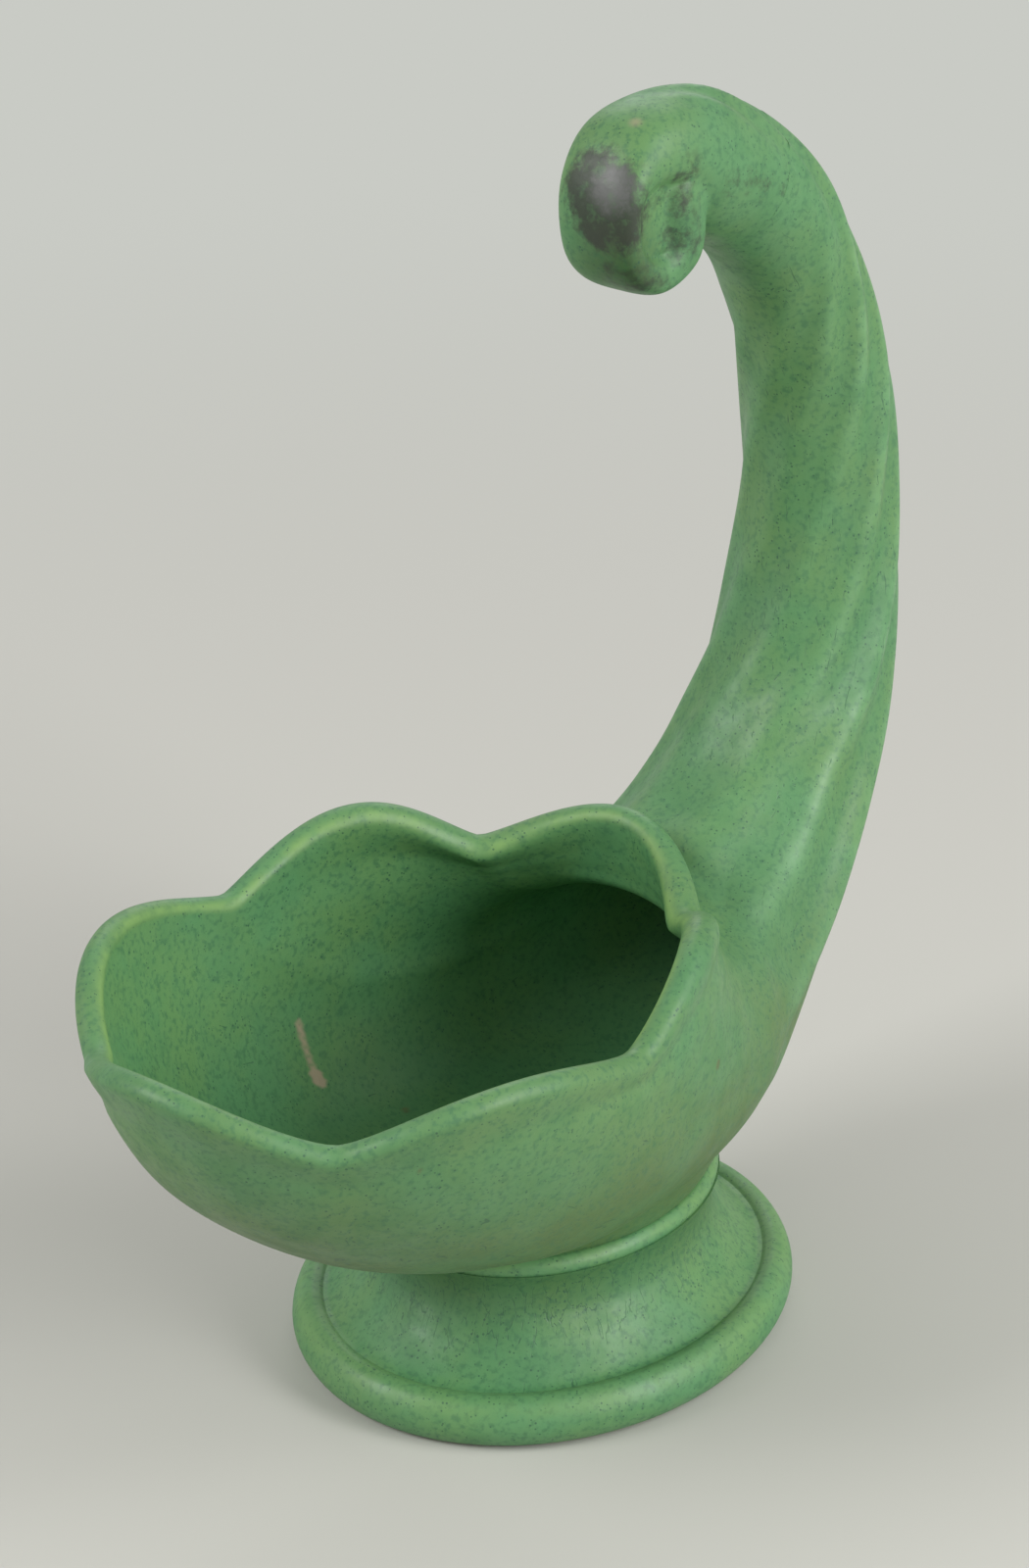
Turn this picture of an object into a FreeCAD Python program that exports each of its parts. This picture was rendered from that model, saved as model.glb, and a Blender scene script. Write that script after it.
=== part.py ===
import FreeCAD, Part
import math
import os

# A cornucopia vase of slip-cast pottery: a six-petalled horn that opens upwards,
# a tall twisted tail that curls over into a scroll, and an oval pedestal foot.
# Lengths are in millimetres. The origin is the centre of the foot on the table,
# Z is up, X points from the mouth towards the tail, and the vase is alike on both
# sides of the plane Y = 0 apart from the twist of the flutes.

# Mouth, measured on the middle of the lip: its centre, half length and half width
MOUTH_X = -40.5
MOUTH_HALF_LENGTH = 60.5
MOUTH_HALF_WIDTH = 46.5
LIP_RADIUS = 2.5

# Petals: rise of each tip above the notches, and bulge of its middle outwards
PETAL_EDGES_DEG = (-32, 32, 85, 145, 215, 275, 328)
PETAL_RISES = (8.3, 9.0, 8.0, 9.5, 8.0, 9.0)
PETAL_BULGES = (4.0, 1.0, 3.4, 3.6, 3.4, 1.0)
PETAL_ROUNDNESS = 1.25
PETAL_FADE_STATION = 3.6
PETAL_FADE_POWER = 2.2
BELLY_GROOVE_DEPTH = 0.9

# Bowl of the horn
CREASE_X = 29.0
CREASE_Z = 83.0
BELLY_Z = 29.8
WALL = 5.0

# Tail
TAIL_REACH_X = 101.0
TAIL_ROOT_HALF_WIDTH = 24.6
VASE_HEIGHT = 230.6

# Flutes of the tail: their depth is a share of its radius, and their ridges stand proud by
# a share of that depth. On the inner side of the bend they are shallower, and they end
# sooner there and on the flanks than on the back.
# The turns are the angles in degrees at which one ridge crosses the stations, one by one.
FLUTE_COUNT = 9
FLUTE_DEPTH_SHARE = 0.1
FLUTE_PROUD_SHARE = 0.4
FLUTE_SHARPNESS = 0.9
FLUTE_INNER_SHARE = 0.4
FLUTE_FIRST_STATION = 7
FLUTE_TURNS_DEG = (357, 348, 343.5, 343, 338, 318, 300, 281, 259, 237, 215, 187, 152, 109, 63)
FLUTE_START_STATIONS = (6.0, 8.0)
FLUTE_END_STATIONS = (20.0, 21.2)
FLUTE_SIDE_END_STATIONS = (16.4, 18.2)
GROOVE_END_STATIONS = (4.0, 10.0)

# Scroll at the end of the tail: its middle lies behind the crease and below the arch
SCROLL_SETBACK = 6.5
SCROLL_DROP = 17.6
SCROLL_X = CREASE_X - SCROLL_SETBACK
SCROLL_Z = VASE_HEIGHT - SCROLL_DROP
SCROLL_RADIUS = 16.0
SCROLL_HALF_WIDTH = 10.6
EYE_RADIUS = 8.4
EYE_HALF_WIDTH = 6.6
EYE_ROUNDING = 2.4

# Foot
FOOT_HALF_LENGTH = 52.8
FOOT_HALF_WIDTH = 44.6
BEAD_HEIGHT = 10.0
GROOVE_SETBACK = 6.0
SHOULDER_HALF_LENGTH = 37.4
SHOULDER_HALF_WIDTH = 30.5
SHOULDER_Z = 28.2
FOOT_WALL = 5.0

# Pad under the belly, which the horn is seated by, and the luting ring round it
PAD_HALF_LENGTH = 34.4
PAD_HALF_WIDTH = 27.4
PAD_HEIGHT = 15.0
PAD_SPREAD = 6.0
RING_THICKNESS = 2.6
RING_HEIGHT = 4.4

# Joints: the pieces are luted together with a film of slip
SLIP_GAP = 0.3
SPIGOT_LENGTH = 3.0
CUT_OVERRUN = 4.0

# Places of the joints along the horn, counted in stations of the table below
BOWL_TAIL_JOINT = 9.5
TAIL_SCROLL_JOINT = 19.0
ROLL_SPLIT = 23.0

# How finely the loops are drawn
LOOP_POINTS = 84
SLOPE_STEP = 0.002
SERIES_REACH = 12

# Each row is one slice of the horn: inner end and outer end in the plane Y = 0,
# half width, and squareness of the outer half, where 2 is an ellipse.
# The bowl rows are shares of the bowl's length and depth, measured from the crease.
BOWL_LENGTH = CREASE_X - (MOUTH_X - MOUTH_HALF_LENGTH - LIP_RADIUS)
BOWL_DEPTH = CREASE_Z - BELLY_Z
BOWL_HALF_WIDTH = MOUTH_HALF_WIDTH + LIP_RADIUS
BOWL_ROW_SHARES = (
    (0.049, 0.042, 1.000, 0.042, 1.000, 2.00),
    (0.030, -0.009, 0.970, -0.127, 0.990, 2.05),
    (0.015, -0.018, 0.900, -0.391, 0.969, 2.10),
    (0.008, -0.022, 0.760, -0.660, 0.939, 2.20),
    (0.001, -0.027, 0.563, -0.886, 0.886, 2.35),
    (-0.008, -0.027, 0.351, -0.985, 0.822, 2.45),
    (-0.018, -0.018, 0.151, -1.000, 0.760, 2.45),
    (-0.032, 0.004, -0.023, -0.940, 0.668, 2.32),
)

# The tail rows are shares of the tail's reach and height, measured from the crease.
TAIL_REACH = TAIL_REACH_X - CREASE_X
TAIL_HEIGHT = VASE_HEIGHT - CREASE_Z
TAIL_ROW_SHARES = (
    (0.111, 0.024, 0.342, -0.286, 1.130, 2.15),
    (0.215, 0.044, 0.581, -0.193, 1.000, 2.00),
    (0.313, 0.077, 0.750, -0.098, 0.911, 2.00),
    (0.389, 0.122, 0.861, -0.010, 0.833, 2.00),
    (0.486, 0.206, 0.954, 0.122, 0.732, 2.00),
    (0.544, 0.295, 0.999, 0.268, 0.667, 2.00),
    (0.574, 0.403, 0.986, 0.407, 0.610, 2.00),
    (0.558, 0.515, 0.949, 0.545, 0.581, 2.00),
    (0.518, 0.590, 0.882, 0.644, 0.552, 2.00),
    (0.458, 0.666, 0.777, 0.746, 0.526, 2.00),
    (0.368, 0.737, 0.619, 0.859, 0.518, 2.00),
    (0.243, 0.790, 0.410, 0.940, 0.504, 2.00),
    (0.104, 0.828, 0.196, 0.992, 0.472, 2.15),
)

# The scroll rows are shares of its radius, measured from its middle.
SCROLL_ROW_SHARES = (
    (0.300, 0.020, 0.380, 1.100, 1.000, 2.40),
    (-0.060, 0.180, -0.330, 0.890, 0.880, 2.60),
    (-0.300, 0.100, -0.700, 0.240, 0.800, 2.90),
    (-0.260, -0.280, -0.560, -0.560, 0.800, 3.20),
    (0.020, -0.400, 0.000, -0.960, 0.860, 3.40),
    (0.020, -0.300, 0.700, -0.720, 0.920, 3.40),
    (-0.100, -0.050, 0.820, -0.100, 0.980, 3.00),
    (-0.060, 0.200, 0.700, 0.380, 0.940, 2.80),
)

# Outline of the bead from the table to the groove: shares of the groove's set-back, and of
# the bead's height.
BEAD_SHARES = (
    (0.65, 0.0),
    (0.30, 0.085),
    (0.07, 0.28),
    (0.0, 0.48),
    (0.08, 0.70),
    (0.31, 0.91),
    (0.60, 1.0),
    (0.84, 0.985),
    (1.0, 0.94),
)
GROOVE_Z = BEAD_HEIGHT * BEAD_SHARES[-1][1]

# Outline of the pedestal's flank from groove to shoulder: shares of the way in, and up.
COVE_SHARES = (
    (0.0, 0.0),
    (0.13, 0.008),
    (0.30, 0.055),
    (0.545, 0.15),
    (0.785, 0.27),
    (0.96, 0.405),
    (1.12, 0.55),
    (1.17, 0.72),
    (1.12, 0.87),
    (1.0, 1.0),
)


def horn_rows():
    """Every slice of the horn in real lengths, from the lip to the end of the roll."""
    rows = []
    for ix, iz, ox, oz, width, square in BOWL_ROW_SHARES:
        rows.append((CREASE_X - ix * BOWL_LENGTH, CREASE_Z + iz * BOWL_DEPTH,
                     CREASE_X - ox * BOWL_LENGTH, CREASE_Z + oz * BOWL_DEPTH,
                     width * BOWL_HALF_WIDTH, square))
    for ix, iz, ox, oz, width, square in TAIL_ROW_SHARES:
        rows.append((CREASE_X + ix * TAIL_REACH, CREASE_Z + iz * TAIL_HEIGHT,
                     CREASE_X + ox * TAIL_REACH, CREASE_Z + oz * TAIL_HEIGHT,
                     width * TAIL_ROOT_HALF_WIDTH, square))
    for ix, iz, ox, oz, width, square in SCROLL_ROW_SHARES:
        rows.append((SCROLL_X + ix * SCROLL_RADIUS, SCROLL_Z + iz * SCROLL_RADIUS,
                     SCROLL_X + ox * SCROLL_RADIUS, SCROLL_Z + oz * SCROLL_RADIUS,
                     width * SCROLL_HALF_WIDTH, square))
    return rows


ROWS = horn_rows()
LAST_STATION = len(ROWS) - 1


def through(rows, place):
    """Row at any place on the smooth curve through rows that are counted from nought."""
    low = min(int(place), len(rows) - 2)
    part = place - low
    p1 = rows[low]
    p2 = rows[low + 1]
    p0 = rows[low - 1] if low > 0 else [2 * a - b for a, b in zip(p1, p2)]
    p3 = rows[low + 2] if low + 2 < len(rows) else [2 * b - a for a, b in zip(p1, p2)]
    row = []
    for a, b, c, d in zip(p0, p1, p2, p3):
        slope = c - a
        bend = 2 * a - 5 * b + 4 * c - d
        twist = 3 * b - a - 3 * c + d
        row.append((2 * b + slope * part + bend * part ** 2 + twist * part ** 3) / 2)
    return row


def slice_at(station):
    """Row of the table at any station, on a smooth curve through the rows."""
    return through(ROWS, station)


def ramp(value):
    """Smooth step from 0 to 1."""
    value = min(max(value, 0.0), 1.0)
    return value * value * (3 - 2 * value)


def passed(station, stations):
    """Smooth step from 0 to 1 while the station goes from the first to the second."""
    return ramp((station - stations[0]) / (stations[1] - stations[0]))


def middle_distances(steps_per_station=20):
    """Distance travelled along the middle of the horn, at even steps of station."""
    distances = [0.0]
    last = None
    for step in range(LAST_STATION * steps_per_station + 1):
        row = slice_at(step / steps_per_station)
        point = ((row[0] + row[2]) / 2, (row[1] + row[3]) / 2)
        if last is not None:
            distances.append(distances[-1] + math.dist(point, last))
        last = point
    return distances, steps_per_station


DISTANCES, STEPS = middle_distances()


def distance_at(station):
    """Distance along the middle of the horn, read between the even steps."""
    place = min(station * STEPS, len(DISTANCES) - 1.001)
    low = int(place)
    return DISTANCES[low] + (DISTANCES[low + 1] - DISTANCES[low]) * (place - low)


def petal_at(angle):
    """Share of the petal's height at an angle, with its bulge and its rise."""
    degrees = (math.degrees(angle) - PETAL_EDGES_DEG[0]) % 360 + PETAL_EDGES_DEG[0]
    number = 0
    while number < len(PETAL_RISES) - 1 and degrees >= PETAL_EDGES_DEG[number + 1]:
        number += 1
    start = PETAL_EDGES_DEG[number]
    part = (degrees - start) / (PETAL_EDGES_DEG[number + 1] - start)
    share = max(math.sin(math.pi * part), 0.0) ** PETAL_ROUNDNESS
    return share, PETAL_BULGES[number], PETAL_RISES[number]


def flute_share(station, angle):
    """How far the flutes lower the skin, as a share of the radius, at an angle."""
    place = min(max(station - FLUTE_FIRST_STATION, 0), len(FLUTE_TURNS_DEG) - 1)
    turn = math.radians(through([(degrees,) for degrees in FLUTE_TURNS_DEG], place)[0])
    valley = ((1 - math.cos(FLUTE_COUNT * (angle - turn))) / 2) ** FLUTE_SHARPNESS
    outer = ramp(1 - math.cos(angle))
    back = ramp(-math.cos(angle))
    ends = [side + (far - side) * back
            for side, far in zip(FLUTE_SIDE_END_STATIONS, FLUTE_END_STATIONS)]
    strength = FLUTE_INNER_SHARE + (1 - FLUTE_INNER_SHARE) * outer
    strength *= passed(station, FLUTE_START_STATIONS) * (1 - passed(station, ends))
    return FLUTE_DEPTH_SHARE * strength * (valley - FLUTE_PROUD_SHARE)


def relief(station, angle):
    """How far the skin stands out of its plain slice: petals, less the belly grooves."""
    share, bulge, _ = petal_at(angle)
    fade = max(1 - station / PETAL_FADE_STATION, 0.0) ** PETAL_FADE_POWER
    first, last = GROOVE_END_STATIONS
    belly = (1 - fade) * min(max((last - station) / (last - first), 0.0), 1.0)
    return bulge * share * fade - BELLY_GROOVE_DEPTH * belly * (1 - share) ** 2


def flat_point(station, angle, row, inset):
    """Point of the outer skin in its slice: along the slice, and across it.

    The flutes fade out through the wall, so the hollow of the tail is plain."""
    depth = math.dist(row[0:2], row[2:4]) / 2
    width = row[4]
    along = math.cos(angle)
    across = math.sin(angle)
    square = 2 + (row[5] - 2) * ramp(-along)
    reach = (abs(along) ** square + abs(across) ** square) ** (-1 / square)
    flute = flute_share(station, angle) * min(max(1 - inset / WALL, 0), 1)
    reach *= 1 + 2 * relief(station, angle) / (depth + width) - flute
    return depth * along * reach, width * across * reach


def loop_points(station, inset):
    """Closed row of points round the horn, set in from the outer skin."""
    row = slice_at(station)
    middle = ((row[0] + row[2]) / 2, (row[1] + row[3]) / 2)
    depth = math.dist(row[0:2], row[2:4]) / 2
    way = ((row[0] - middle[0]) / depth, (row[1] - middle[1]) / depth)
    fade = max(1 - station / PETAL_FADE_STATION, 0.0) ** PETAL_FADE_POWER
    points = []
    for number in range(LOOP_POINTS):
        angle = 2 * math.pi * number / LOOP_POINTS
        along, across = flat_point(station, angle, row, inset)
        before = flat_point(station, angle - SLOPE_STEP, row, inset)
        after = flat_point(station, angle + SLOPE_STEP, row, inset)
        run = (after[0] - before[0], after[1] - before[1])
        length = math.hypot(run[0], run[1])
        along -= inset * run[1] / length
        across += inset * run[0] / length
        share, _, rise = petal_at(angle)
        lift = rise * share * fade
        points.append(FreeCAD.Vector(middle[0] + way[0] * along, across,
                                     middle[1] + way[1] * along + lift))
    return points


def spline_poles(points, neighbour):
    """Poles of the even cubic spline through points, by its alternating shrinking series."""
    ratio = math.sqrt(3) - 2
    poles = []
    for place in range(len(points)):
        pole = FreeCAD.Vector()
        for step in range(-SERIES_REACH, SERIES_REACH + 1):
            pole += neighbour(points, place + step) * (math.sqrt(3) * ratio ** abs(step))
        poles.append(pole)
    return poles


def closed_neighbour(points, place):
    """Point at any place of a closed row."""
    return points[place % len(points)]


def open_neighbour(points, place):
    """Point at any place of an open row, which goes on turned about its end points."""
    last = len(points) - 1
    if place < 0:
        return points[0] * 2 - open_neighbour(points, -place)
    if place > last:
        return points[last] * 2 - open_neighbour(points, 2 * last - place)
    return points[place]


def skin(loops):
    """Smooth closed surface through loops that all have the same number of points."""
    rounds = [spline_poles(loop, closed_neighbour) for loop in loops]
    columns = []
    for column in zip(*rounds):
        poles = spline_poles(column, open_neighbour)
        second = (poles[0] * 2 + poles[1]) / 3
        last_but_one = (poles[-1] * 2 + poles[-2]) / 3
        columns.append([poles[0], second] + poles[1:-1] + [last_but_one, poles[-1]])
    surface = Part.BSplineSurface()
    around = len(columns)
    along = len(loops)
    surface.buildFromPolesMultsKnots(columns, [1] * (around + 1), [4] + [1] * (along - 2) + [4],
                                     list(range(around + 1)), list(range(along)),
                                     True, False, 3, 3)
    return surface


def rim_of(surface, at_end):
    """Closed wire on the first or the last loop of a skin."""
    place = surface.bounds()[3] if at_end else surface.bounds()[2]
    return Part.Wire([surface.vIso(place).toShape()])


def solid_of(faces):
    """Solid inside these faces, which meet edge to edge."""
    shell = Part.makeShell(faces)
    shell.sewShape()
    solid = Part.makeSolid(shell)
    if solid.Volume < 0:
        solid.reverse()
    return solid


def even(first, last, count):
    """Count values from first to last at even steps."""
    return [first + (last - first) * step / (count - 1) for step in range(count)]


def horn_solid(stations, inset):
    """Solid inside the horn's loops at these stations, flat at both ends."""
    surface = skin([loop_points(station, inset) for station in stations])
    ends = [Part.Face(rim_of(surface, False)), Part.Face(rim_of(surface, True))]
    return solid_of([surface.toShape()] + ends)


def sleeve(first, last, outer_inset, inner_inset):
    """Short ring of the horn's wall between two stations."""
    stations = even(first, last, 3)
    reach = (last - first) / 2
    hole = horn_solid(even(first - reach, last + reach, 4), inner_inset)
    return horn_solid(stations, outer_inset).cut(hole)


def lip_points(turn):
    """Loop on the rounded lip: turn goes from 0 at the outside to pi at the inside."""
    outside = loop_points(0, 0)
    inside = loop_points(0, 2 * LIP_RADIUS)
    points = []
    for out, inn in zip(outside, inside):
        middle = (out + inn) * 0.5
        point = middle + (out - middle) * math.cos(turn)
        point.z += LIP_RADIUS * math.sin(turn)
        points.append(point)
    return points


# Stations of the bowl's loops, closer together where the petals stand
RIM_STATIONS = (0, 0.3, 0.7, 1.2, 1.8, 2.5, 3.2, 4.0, 4.8, 5.6, 6.4, 7.2, 8.0, 8.8)
LIP_TURNS_DEG = (0, 30, 60, 90, 120, 150, 180)


def wall_inset(station):
    """Thickness of the bowl's wall, which is the lip's at the rim."""
    return 2 * LIP_RADIUS + (WALL - 2 * LIP_RADIUS) * ramp(station)


def spigot_step():
    """Length of the tail's spigot, in stations."""
    here = distance_at(BOWL_TAIL_JOINT)
    before = distance_at(BOWL_TAIL_JOINT - 1)
    return SPIGOT_LENGTH / (here - before)


def make_horn_bowl():
    """Hollow six-petalled bowl: one skin goes up outside, over the lip and down inside."""
    stations = list(RIM_STATIONS) + [BOWL_TAIL_JOINT]
    outside = skin([loop_points(station, 0) for station in stations])
    lip = skin([lip_points(math.radians(turn)) for turn in LIP_TURNS_DEG])
    inside = skin([loop_points(station, wall_inset(station)) for station in stations])
    end = Part.makeFace([rim_of(outside, True), rim_of(inside, True)],
                        "Part::FaceMakerBullseye")
    bowl = solid_of([outside.toShape(), lip.toShape(), inside.toShape(), end])
    within = horn_solid(even(PETAL_FADE_STATION, BOWL_TAIL_JOINT, 12), WALL / 2)
    pad = pad_solid().cut(within)
    bowl = bowl.fuse(pad)
    step = spigot_step()
    rebate = sleeve(BOWL_TAIL_JOINT - step, BOWL_TAIL_JOINT + step, WALL / 2 - SLIP_GAP,
                    WALL + CUT_OVERRUN)
    return bowl.cut(rebate)


def make_horn_tail():
    """Hollow fluted tail, with a spigot that enters the bowl's wall."""
    stations = even(BOWL_TAIL_JOINT, TAIL_SCROLL_JOINT, 27)
    tail = horn_solid(stations, 0)
    step = spigot_step()
    spigot = sleeve(BOWL_TAIL_JOINT - step + step / 8, BOWL_TAIL_JOINT, WALL / 2, WALL)
    cavity = horn_solid(even(BOWL_TAIL_JOINT - step, TAIL_SCROLL_JOINT + step, 20), WALL)
    return tail.cut(cavity).fuse(spigot)


def make_tail_scroll():
    """Arch and rolled tip, with a plug that enters the hollow end of the tail."""
    arch = horn_solid(even(TAIL_SCROLL_JOINT, ROLL_SPLIT, 9), 0)
    roll = horn_solid(even(ROLL_SPLIT, LAST_STATION, 9), 0)
    eye = Part.makeCylinder(EYE_RADIUS, 2 * EYE_HALF_WIDTH,
                            FreeCAD.Vector(SCROLL_X, -EYE_HALF_WIDTH, SCROLL_Z),
                            FreeCAD.Vector(0, 1, 0))
    eye = eye.makeFillet(EYE_ROUNDING, [eye.Edges[0], eye.Edges[2]])
    plug = horn_solid(even(TAIL_SCROLL_JOINT - 1, TAIL_SCROLL_JOINT + 0.2, 4), WALL + SLIP_GAP)
    return arch.fuse([roll, eye, plug])


def oval_points(half_length, half_width, height):
    """Closed row of points on an oval round the Z axis."""
    points = []
    for number in range(LOOP_POINTS):
        angle = 2 * math.pi * number / LOOP_POINTS
        points.append(FreeCAD.Vector(half_length * math.cos(angle),
                                     half_width * math.sin(angle), height))
    return points


def oval_solid(profile):
    """Solid through ovals given as half length, half width and height."""
    surface = skin([oval_points(*row) for row in profile])
    ends = [Part.Face(rim_of(surface, False)), Part.Face(rim_of(surface, True))]
    return solid_of([surface.toShape()] + ends)


def make_foot_bead():
    """Round bead that the foot stands on, with a register for the pedestal inside."""
    rows = [(FOOT_HALF_LENGTH - way_in * GROOVE_SETBACK,
             FOOT_HALF_WIDTH - way_in * GROOVE_SETBACK, way_up * BEAD_HEIGHT)
            for way_in, way_up in BEAD_SHARES]
    inset = GROOVE_SETBACK + FOOT_WALL
    bore = oval_solid(((FOOT_HALF_LENGTH - inset, FOOT_HALF_WIDTH - inset, -CUT_OVERRUN),
                       (FOOT_HALF_LENGTH - inset, FOOT_HALF_WIDTH - inset,
                        BEAD_HEIGHT + CUT_OVERRUN)))
    return oval_solid(rows).cut(bore)


def cove_rows(inset):
    """Flank of the pedestal from the groove to the shoulder, set in by inset."""
    low_length = FOOT_HALF_LENGTH - GROOVE_SETBACK
    low_width = FOOT_HALF_WIDTH - GROOVE_SETBACK
    rows = []
    for way_in, way_up in COVE_SHARES:
        rows.append((low_length + (SHOULDER_HALF_LENGTH - low_length) * way_in - inset,
                     low_width + (SHOULDER_HALF_WIDTH - low_width) * way_in - inset,
                     GROOVE_Z + (SHOULDER_Z - GROOVE_Z) * way_up))
    return rows


def pad_solid(gap=0):
    """Pad that fills the belly out to the oval where it is seated on the pedestal."""
    rows = []
    for share in even(0, 1, 6):
        spread = PAD_SPREAD * (1 - (1 - share) ** 2) + gap
        rows.append((PAD_HALF_LENGTH + spread / 3, PAD_HALF_WIDTH + spread,
                     SHOULDER_Z + PAD_HEIGHT * share))
    return oval_solid(rows)


def make_pedestal():
    """Flared hollow stem, from the groove over the bead up to a flat shoulder."""
    body = oval_solid(cove_rows(0))
    hollow = oval_solid(cove_rows(FOOT_WALL))
    return body.cut(hollow)


def make_luting_ring():
    """Bead of slip round the pad, on the pedestal's shoulder and against the belly."""
    rows = []
    for turn in even(0, math.pi, 7):
        bulge = math.sin(turn) ** 0.5 if 0 < turn < math.pi else 0
        reach = RING_THICKNESS * (1 + bulge) / 2 + SLIP_GAP
        rows.append((PAD_HALF_LENGTH + reach, PAD_HALF_WIDTH + reach,
                     SHOULDER_Z + RING_HEIGHT * (1 - math.cos(turn)) / 2))
    belly = horn_solid(even(PETAL_FADE_STATION, BOWL_TAIL_JOINT, 12), -SLIP_GAP)
    return oval_solid(rows).cut([pad_solid(SLIP_GAP), belly])


def save(name, shape):
    """Writes one node and prints what it holds."""
    shape.exportStep(os.path.join("parts", name + ".step"))
    box = shape.BoundBox
    print(name, "solids", len(shape.Solids), "valid", shape.isValid(),
          "volume %.1f" % shape.Volume,
          "x %.1f %.1f y %.1f %.1f z %.1f %.1f" % (box.XMin, box.XMax, box.YMin,
                                                   box.YMax, box.ZMin, box.ZMax))


def main():
    """Builds every piece and writes it to its own file."""
    os.makedirs("parts", exist_ok=True)
    save("horn_bowl", make_horn_bowl())
    save("horn_tail", make_horn_tail())
    save("tail_scroll", make_tail_scroll())
    save("luting_ring", make_luting_ring())
    save("pedestal", make_pedestal())
    save("foot_bead", make_foot_bead())


main()
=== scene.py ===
# %% [markdown]
# # A cornucopia vase in matte green glaze
#
# The vase is one slip-cast pot: a horn with a six-petalled mouth, a tall fluted tail that
# curls over into a scroll, and an oval foot. It was cast in pieces that were luted together
# with slip, so the lesson makes it in the same pieces. Each piece is a surface that numpy
# works out as whole arrays. The lengths here are millimetres and are turned into metres
# only when a mesh is made.

# %% Load the solids of the vase
import math
import bmesh
import bpy
import numpy as np
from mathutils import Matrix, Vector


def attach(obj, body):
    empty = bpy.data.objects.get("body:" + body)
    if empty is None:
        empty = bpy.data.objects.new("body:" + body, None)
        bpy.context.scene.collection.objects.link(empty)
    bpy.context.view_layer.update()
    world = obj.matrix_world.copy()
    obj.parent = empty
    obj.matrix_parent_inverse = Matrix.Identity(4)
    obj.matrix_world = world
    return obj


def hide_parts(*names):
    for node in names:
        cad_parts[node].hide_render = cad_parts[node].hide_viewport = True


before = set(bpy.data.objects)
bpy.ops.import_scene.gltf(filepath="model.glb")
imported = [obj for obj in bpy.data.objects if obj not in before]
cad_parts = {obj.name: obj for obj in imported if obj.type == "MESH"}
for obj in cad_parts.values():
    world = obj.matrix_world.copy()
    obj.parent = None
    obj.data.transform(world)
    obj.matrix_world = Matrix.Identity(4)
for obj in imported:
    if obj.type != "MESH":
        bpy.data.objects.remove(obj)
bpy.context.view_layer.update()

MM = 0.001

# %% [markdown]
# ## The table of slices
#
# A horn is a row of slices that turn as it bends. Each row here gives the inner and the
# outer end of a slice in the plane Y = 0, its half width, and how square its outer half is.
# The rows are shares of a few real lengths, as in the source of the solids, so the horn
# can be resized by changing those. The other way would be one sweep along a curve, but a
# horn's slices are not round and not alike, and a table lets each be fitted one by one.

# %% Driving sizes of the horn
MOUTH_X = -40.5
MOUTH_HALF_LENGTH, MOUTH_HALF_WIDTH = 60.5, 46.5
LIP_RADIUS, WALL = 2.5, 5.0
CREASE_X, CREASE_Z, BELLY_Z = 29.0, 83.0, 29.8
TAIL_REACH_X, TAIL_ROOT_HALF_WIDTH, VASE_HEIGHT = 101.0, 24.6, 230.6
SCROLL_SETBACK, SCROLL_DROP = 6.5, 17.6
SCROLL_X, SCROLL_Z = CREASE_X - SCROLL_SETBACK, VASE_HEIGHT - SCROLL_DROP
SCROLL_RADIUS, SCROLL_HALF_WIDTH = 16.0, 10.6
BOWL_TAIL_JOINT, TAIL_SCROLL_JOINT, ROLL_SPLIT = 9.5, 19.0, 23.0

BOWL_ROW_SHARES = np.array((
    (0.049, 0.042, 1.000, 0.042, 1.000, 2.00),
    (0.030, -0.009, 0.970, -0.127, 0.990, 2.05),
    (0.015, -0.018, 0.900, -0.391, 0.969, 2.10),
    (0.008, -0.022, 0.760, -0.660, 0.939, 2.20),
    (0.001, -0.027, 0.563, -0.886, 0.886, 2.35),
    (-0.008, -0.027, 0.351, -0.985, 0.822, 2.45),
    (-0.018, -0.018, 0.151, -1.000, 0.760, 2.45),
    (-0.032, 0.004, -0.023, -0.940, 0.668, 2.32),
))
TAIL_ROW_SHARES = np.array((
    (0.111, 0.024, 0.342, -0.286, 1.130, 2.15),
    (0.215, 0.044, 0.581, -0.193, 1.000, 2.00),
    (0.313, 0.077, 0.750, -0.098, 0.911, 2.00),
    (0.389, 0.122, 0.861, -0.010, 0.833, 2.00),
    (0.486, 0.206, 0.954, 0.122, 0.732, 2.00),
    (0.544, 0.295, 0.999, 0.268, 0.667, 2.00),
    (0.574, 0.403, 0.986, 0.407, 0.610, 2.00),
    (0.558, 0.515, 0.949, 0.545, 0.581, 2.00),
    (0.518, 0.590, 0.882, 0.644, 0.552, 2.00),
    (0.458, 0.666, 0.777, 0.746, 0.526, 2.00),
    (0.368, 0.737, 0.619, 0.859, 0.518, 2.00),
    (0.243, 0.790, 0.410, 0.940, 0.504, 2.00),
    (0.104, 0.828, 0.196, 0.992, 0.472, 2.15),
))
SCROLL_ROW_SHARES = np.array((
    (0.300, 0.020, 0.380, 1.100, 1.000, 2.40),
    (-0.060, 0.180, -0.330, 0.890, 0.880, 2.60),
    (-0.300, 0.100, -0.700, 0.240, 0.800, 2.90),
    (-0.260, -0.280, -0.560, -0.560, 0.800, 3.20),
    (0.020, -0.400, 0.000, -0.960, 0.860, 3.40),
    (0.020, -0.300, 0.700, -0.720, 0.920, 3.40),
    (-0.100, -0.050, 0.820, -0.100, 0.980, 3.00),
    (-0.060, 0.200, 0.700, 0.380, 0.940, 2.80),
))


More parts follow.
